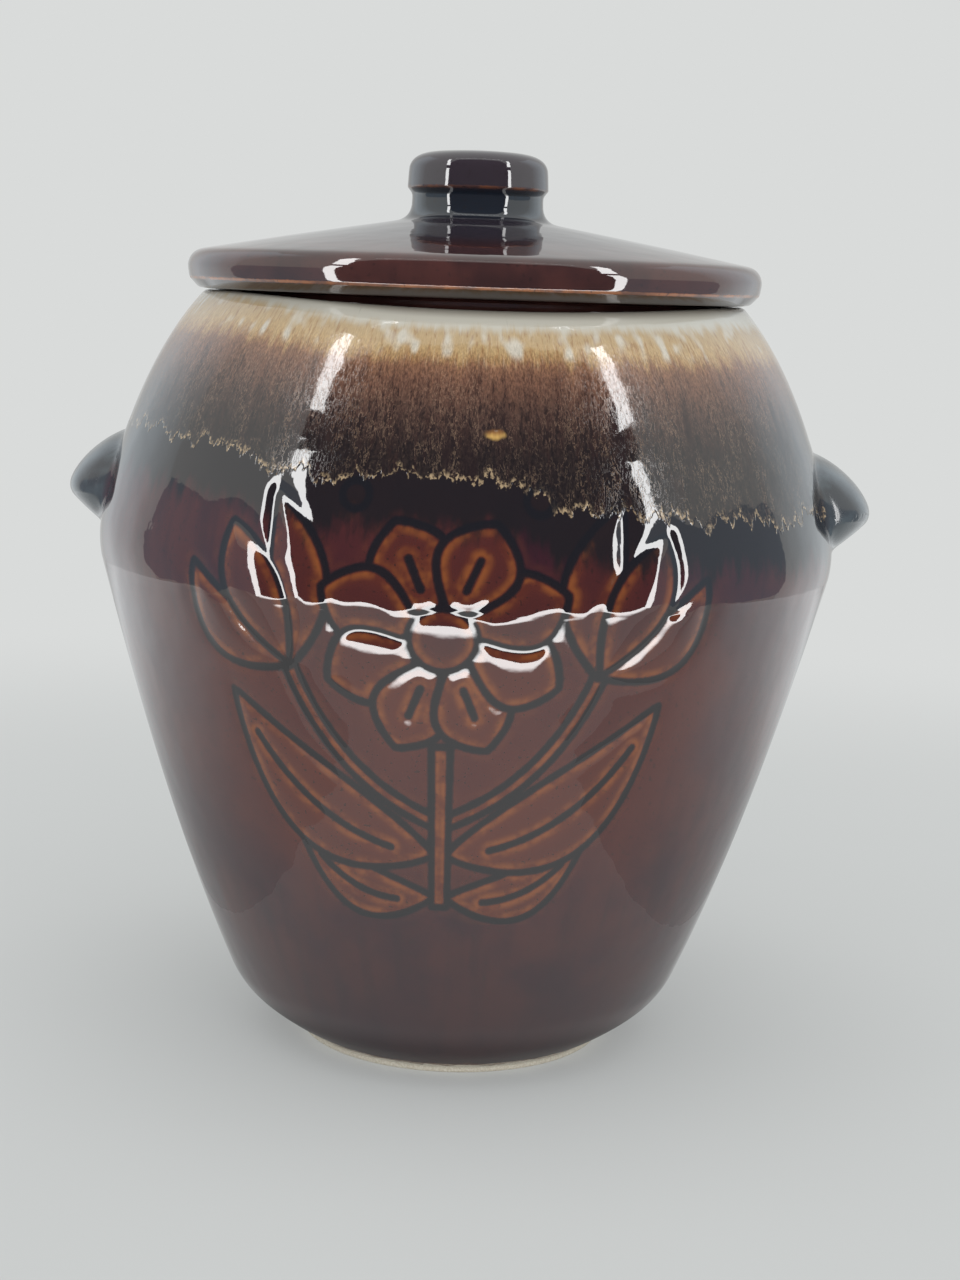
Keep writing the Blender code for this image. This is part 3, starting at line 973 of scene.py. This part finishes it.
# edges where the lid's glaze breaks thin: lowest, highest, innermost, outermost, share
LID_BREAKS = (
    (2.1, 3.1, 74.0, 77.0, 0.9),
    (27.4, 28.5, 18.0, 19.0, 0.5),
)


def lid_glaze():
    n = Nodes("lid_brown_glaze")
    x, y, z = n.place()
    radius = n.radius(x, y)
    height = n.math("SUBTRACT", z, LID_SEAT)
    cloud = n.step(n.noise(17.0, 3.0, 0.55), 0.36, 0.64)
    colour = n.mix(cloud, LID_BROWN, LID_RED)
    upper = n.times(n.step(radius, 74.0, 40.0), n.step(height, 8.0, 11.0))
    colour = n.coat(colour, KNOB_TONE, upper)

    broken = 0.0
    wavy = n.shaken(height, n.noise(1.3, 3.0, 0.6), 0.5)
    for low, high, innermost, outermost, share in LID_BREAKS:
        middle, half = (low + high) / 2, (high - low) / 2
        line = n.step(n.size(n.math("SUBTRACT", wavy, middle)), half, half * 0.35)
        line = n.times(line, n.band(radius, innermost - 0.2, innermost, outermost, outermost + 0.2))
        broken = n.larger(broken, n.times(line, share))
    patches = n.step(n.noise(5.0), 0.32, 0.6, 0.25, 1.0)
    colour = n.coat(colour, BREAK, broken, patches)

    # glaze pooled round the neck, and painted shade on the lip under the lid's edge
    neck = n.times(n.step(radius, 22.0, 17.6), n.band(height, 18.0, 20.0, 26.5, 28.5))
    colour = n.coat(colour, NECK_POOL, neck, 0.88)
    colour = n.speckled(colour)
    lip = n.times(n.band(height, -0.3, 0.1, 1.9, 2.5), n.step(radius, 72.0, 73.0))
    colour = n.coat(colour, LID_LIP_SHADE, lip, 0.8)

    # the flange's foot is wiped bare
    clay, grit = n.clay()
    bare = n.step(n.shaken(height, n.noise(4.0), 1.6), -5.4, -5.9)
    colour = n.coat(colour, clay, bare)

    rough = n.scaled(n.noise(9.0), 0.04, 0.015)
    rough = n.add(rough, n.times(broken, 0.13))
    rough = n.larger(rough, n.times(bare, 0.85))
    relief = n.times(n.noise(9.0, 1.0, 0.4), 0.1)
    relief = n.add(relief, n.times(n.noise(1.6, 1.0), 0.006))
    relief = n.add(relief, n.times(grit, bare, 0.25))
    return n.glazed(colour, rough, relief)


# Pieces
jar = jar_mesh()
jar.data.materials.append(jar_glaze())
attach(jar, "jar")
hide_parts("jar")

lid = lid_mesh()
lid.data.materials.append(lid_glaze())
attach(lid, "lid")
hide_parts("lid")

# Stage
TURN = math.radians(2.8)
BACKDROP = (0.695, 0.708, 0.702)
FLOOR_TONE = (0.575, 0.588, 0.584)
FLOOR_GLOW = (0.555, 0.569, 0.565)
FLOOR_GLOW_BACK = (0.635, 0.649, 0.644)
FLOOR_REACH = 8.0
AMBIENT = 0.84
DAYLIGHT = (0.98, 1.0, 1.0)


def floor_material():
    """Pale paper that runs out into the tone of the backdrop, so that no horizon shows. Part of it glows, a
    painted light that lifts the floor's shadow, dimmer in front and least near the foot.
    """
    n = Nodes("floor_paper_glow")
    x, y, _ = n.place()
    radius = n.radius(x, y)
    soft = n.step(n.noise(160.0), 0.3, 0.7)
    n.put(n.shader.inputs["Base Color"], n.mix(soft, FLOOR_TONE, tuple(0.98 * c for c in FLOOR_TONE)))
    n.shader.inputs["Roughness"].default_value = 0.7
    n.shader.inputs["Specular IOR Level"].default_value = 0.0
    near_glow = n.mix(n.step(y, -300.0, -40.0), FLOOR_GLOW, FLOOR_GLOW_BACK)
    glow = n.glow(n.mix(n.step(radius, 220.0, 680.0), near_glow, BACKDROP))
    # painted light: how much the floor glows, least near the foot, where some of its shadow stays
    share = n.add(n.step(radius, 50.0, 190.0, 0.35, 0.45), n.step(radius, 200.0, 680.0, 0.0, 0.55))
    return n.surface(n.blend(share, n.shader.outputs[0], glow))


def glow_material(name, tint, strength=1.0):
    """Light of one colour, or of the colour that tint makes."""
    n = Nodes(name)
    n.tree.nodes.remove(n.shader)
    return n.surface(n.glow(tint(n) if callable(tint) else tint, strength))


def shade_material():
    """A sheet of painted shade round the foot, which only the heel mirrors: densest at the foot, clear
    further out.
    """
    n = Nodes("shade_foot")
    n.tree.nodes.remove(n.shader)
    x, y, _ = n.place()
    share = n.step(n.radius(x, y), 66.0, 46.0, 0.0, 0.6)
    return n.surface(n.blend(share, n.node("BsdfTransparent").outputs[0], n.glow((0.0, 0.0, 0.0))))


def along(n, y, stops):
    """A share that follows (metres along Y, share) stops."""
    start, end = stops[0][0], stops[-1][0]
    shares = [((at - start) / (end - start), (share, share, share)) for at, share in stops]
    return n.ramp(n.step(y, start / MM, end / MM, smooth=False), shares)


def side_tint(n):
    """Pale side walls, brighter at the floor, which end in the tone of the backdrop."""
    x, y, z = n.place()
    wall = n.mix(n.step(z, 0.0, 260.0), (1.16, 1.22, 1.24), (0.94, 1.02, 1.07))
    return n.mix(along(n, y, ((0.08, 0.25), (0.24, 1.0), (0.44, 1.0), (0.62, 0.0))), BACKDROP, wall)


def ground_tint(n):
    """The lit floor, which brightens outwards from the floor's own tone."""
    x, y, _ = n.place()
    share = along(n, y, ((-0.16, 0.0), (0.0, 0.62), (0.2, 1.0), (0.42, 1.0), (0.62, 0.12)))
    share = n.times(share, n.step(n.size(x), 90.0, 430.0))
    return n.mix(share, (0.465, 0.478, 0.474), (1.36, 1.41, 1.43))


def edge_tint(n):
    """White that fades out downwards to the floor."""
    return n.mix(n.step(n.place()[2], 0.0, 20.0), (0.06, 0.06, 0.06), (1.0, 1.0, 1.0))


def stage_piece(name, quads, material, only_mirrored=True):
    mesh = bpy.data.meshes.new(name)
    points = [tuple(point) for quad in quads for point in quad]
    mesh.from_pydata(points, [], [tuple(range(4 * i, 4 * i + 4)) for i in range(len(quads))])
    mesh.materials.append(material)
    piece = linked(name, mesh)
    if only_mirrored:
        piece.rotation_euler.z = TURN
        for ray in ("camera", "diffuse", "shadow", "transmission", "volume_scatter"):
            setattr(piece, "visible_" + ray, False)


def upright(line, low, high):
    """Upright quads along a line on the floor, between heights given at its points."""
    bottom = np.column_stack([line, np.broadcast_to(low, len(line))])
    top = np.column_stack([line, np.broadcast_to(high, len(line))])
    return list(zip(bottom[:-1], bottom[1:], top[1:], top[:-1]))


def mirrored(half):
    """A line from left to right, made of its right half."""
    return np.vstack([half[::-1] * (-1, 1), half[1:]])


# What the glaze mirrors: a dim front with bright bars, pale sides and a lit floor. Outlines are in metres.
LOW = 0.001
FRONT_HEIGHT = 0.95
SIDE_HEIGHT = 0.8
GROUND_HEIGHT = 0.0015
GROUND_FROM = 0.105
BAR_STRENGTH = 7.6
FRONT = np.array([(0.0, -0.262), (0.1, -0.26), (0.2, -0.252), (0.27, -0.243), (0.31, -0.228)])
FLANK_BEND = [(0.31, -0.228), (0.36, -0.185), (0.4, -0.11), (0.425, -0.02)]
FLANK = np.array(FLANK_BEND + [(0.432, 0.06), (0.432, 0.085), (0.432, 0.1)])
FLANK_TOP = (0.245, 0.245, 0.245, 0.243, 0.235, 0.215, 0.17)
FLANK_FOOT = (0.001, 0.001, 0.001, 0.004, 0.016, 0.035, 0.075)
SIDE = np.array([(0.44, 0.08), (0.455, 0.2), (0.44, 0.35), (0.4, 0.5), (0.35, 0.62)])
GROUND = np.vstack([[(0.385, -0.16), (0.42, 0.0)], SIDE])
EDGE = np.array([(0.0, -0.2525), (0.1, -0.2505), (0.16, -0.244), (0.22, -0.232), (0.282, -0.212)])
EDGE_TOP = (0.041, 0.04, 0.038, 0.033, 0.024)
# the bars' lower and upper ends, and half their widths, which lie askew
BARS = (
    ((0.284, -0.21, 0.012), (0.291, -0.224, 0.1), 0.0135),
    ((0.291, -0.224, 0.1), (0.288, -0.227, 0.215), 0.0135),
    ((0.288, -0.227, 0.215), (0.278, -0.228, 0.335), 0.015),
    ((0.281, -0.224, 0.38), (0.294, -0.2, 0.5), 0.019),
    ((0.294, -0.2, 0.5), (0.318, -0.16, 0.61), 0.019),
    ((0.318, -0.16, 0.61), (0.332, -0.11, 0.76), 0.019),
)
BAR_SKEW = math.radians(50)
TOP_BAR = ((-0.3, -0.112, 0.85), (0.3, -0.112, 0.85), (0.3, -0.109, 0.86), (-0.3, -0.109, 0.86))
FOOT_SHADE_HEIGHT = 0.0008
FOOT_SHADE_RADII = (0.0425, 0.068)

floor_quad = [(FLOOR_REACH * x, FLOOR_REACH * y, 0) for x, y in ((-1, -1), (1, -1), (1, 1), (-1, 1))]
stage_piece("floor", [floor_quad], floor_material(), False)
front_quads = upright(mirrored(FRONT), LOW, FRONT_HEIGHT)
stage_piece("card_front", front_quads, glow_material("glow_front", (0.105, 0.095, 0.115)))
flank_glow = glow_material("glow_flank", (0.35, 0.405, 0.47))
side_glow = glow_material("glow_side", side_tint)
ground_glow = glow_material("glow_ground", ground_tint)
for side in (-1, 1):
    stage_piece("card_flank", upright(FLANK * (side, 1), FLANK_FOOT, FLANK_TOP), flank_glow)
    stage_piece("card_side", upright(SIDE * (side, 1), LOW, SIDE_HEIGHT), side_glow)
    ground = []
    for (ax, ay), (bx, by) in zip(GROUND, GROUND[1:]):
        corners = ((GROUND_FROM, ay), (ax, ay), (bx, by), (GROUND_FROM, by))
        ground.append([(side * x, y, GROUND_HEIGHT) for x, y in corners])
    stage_piece("card_ground", ground, ground_glow)
edge_quads = upright(mirrored(EDGE), LOW, EDGE_TOP[::-1] + EDGE_TOP[1:])
stage_piece("card_edge", edge_quads, glow_material("glow_edge", edge_tint, BAR_STRENGTH))
bars = []
for side in (-1, 1):
    for low, high, half_width in BARS:
        a, b = np.array(low), np.array(high)
        across = half_width * np.array((math.cos(BAR_SKEW), math.sin(BAR_SKEW), 0))
        bars.append([point * (side, 1, 1) for point in (a - across, a + across, b + across, b - across)])
stage_piece("card_bars", bars + [TOP_BAR], glow_material("glow_bars", (1.0, 1.0, 1.0), BAR_STRENGTH))
# painted shade round the foot, seen only in the heel's reflection
rings = [np.column_stack([ring((0.0, 0.0), r, 48), np.full(48, FOOT_SHADE_HEIGHT)]) for r in FOOT_SHADE_RADII]
foot_shade_quads = list(zip(*rings, *(np.roll(points, -1, axis=0) for points in rings[::-1])))
stage_piece("card_foot_shade", foot_shade_quads, shade_material())


def world():
    """Even soft light, with the plain backdrop tone where it is seen straight or mirrored."""
    n = Nodes("studio", bpy.data.worlds, "Background", "World Output")
    n.put(n.shader.inputs["Color"], DAYLIGHT)
    n.put(n.shader.inputs["Strength"], AMBIENT)
    seen = n.node("Background", BACKDROP, 1.0)
    rays = n.node("LightPath").outputs
    straight = n.larger(n.larger(rays["Is Camera Ray"], rays["Is Glossy Ray"]), rays["Is Transmission Ray"])
    bpy.context.scene.world = n.surface(n.blend(straight, n.shader.outputs[0], seen.outputs[0]))


def lamp(name, at, target, width, height, energy):
    data = bpy.data.lights.new(name, "AREA")
    data.shape = "RECTANGLE"
    data.size, data.size_y = width, height
    data.energy = energy
    light = linked(name, data)
    light.location = at
    light.rotation_euler = (Vector(target) - Vector(at)).to_track_quat("-Z", "Y").to_euler()
    light.visible_camera = False
    light.visible_glossy = False


world()
lamp("soft_top", (0.0, -0.25, 1.1), (0.0, 0.0, 0.1), 0.9, 0.9, 2.6)
lamp("soft_front", (0.15, -0.85, 0.42), (0.0, 0.0, 0.02), 0.8, 0.5, 2.2)

# Camera, as fitted: it looks down, a little aside and with a slight roll
FOCAL_PIXELS = 2150.0
IMAGE_HEIGHT = 1280
SENSOR = 36.0
DISTANCE = 0.5818
EYE_HEIGHT = 0.2075
PITCH = math.radians(9.63)
ROLL = math.radians(2.0)
YAW = math.radians(0.46)

camera_data = bpy.data.cameras.new("camera")
camera_data.sensor_fit = "AUTO"
camera_data.sensor_width = SENSOR
camera_data.lens = SENSOR * FOCAL_PIXELS / IMAGE_HEIGHT
camera = linked("camera", camera_data)
heading = YAW - TURN
flat = math.cos(PITCH)
forward = Vector((math.sin(heading) * flat, math.cos(heading) * flat, -math.sin(PITCH)))
level_right = Vector((math.cos(heading), -math.sin(heading), 0))
level_up = level_right.cross(forward)
right = math.cos(ROLL) * level_right + math.sin(ROLL) * level_up
up = -math.sin(ROLL) * level_right + math.cos(ROLL) * level_up
eye = Matrix.Translation((DISTANCE * math.sin(TURN), -DISTANCE * math.cos(TURN), EYE_HEIGHT))
camera.matrix_world = eye @ Matrix((right, up, -forward)).transposed().to_4x4()
bpy.context.scene.camera = camera

bpy.context.scene.view_settings.view_transform = "Standard"
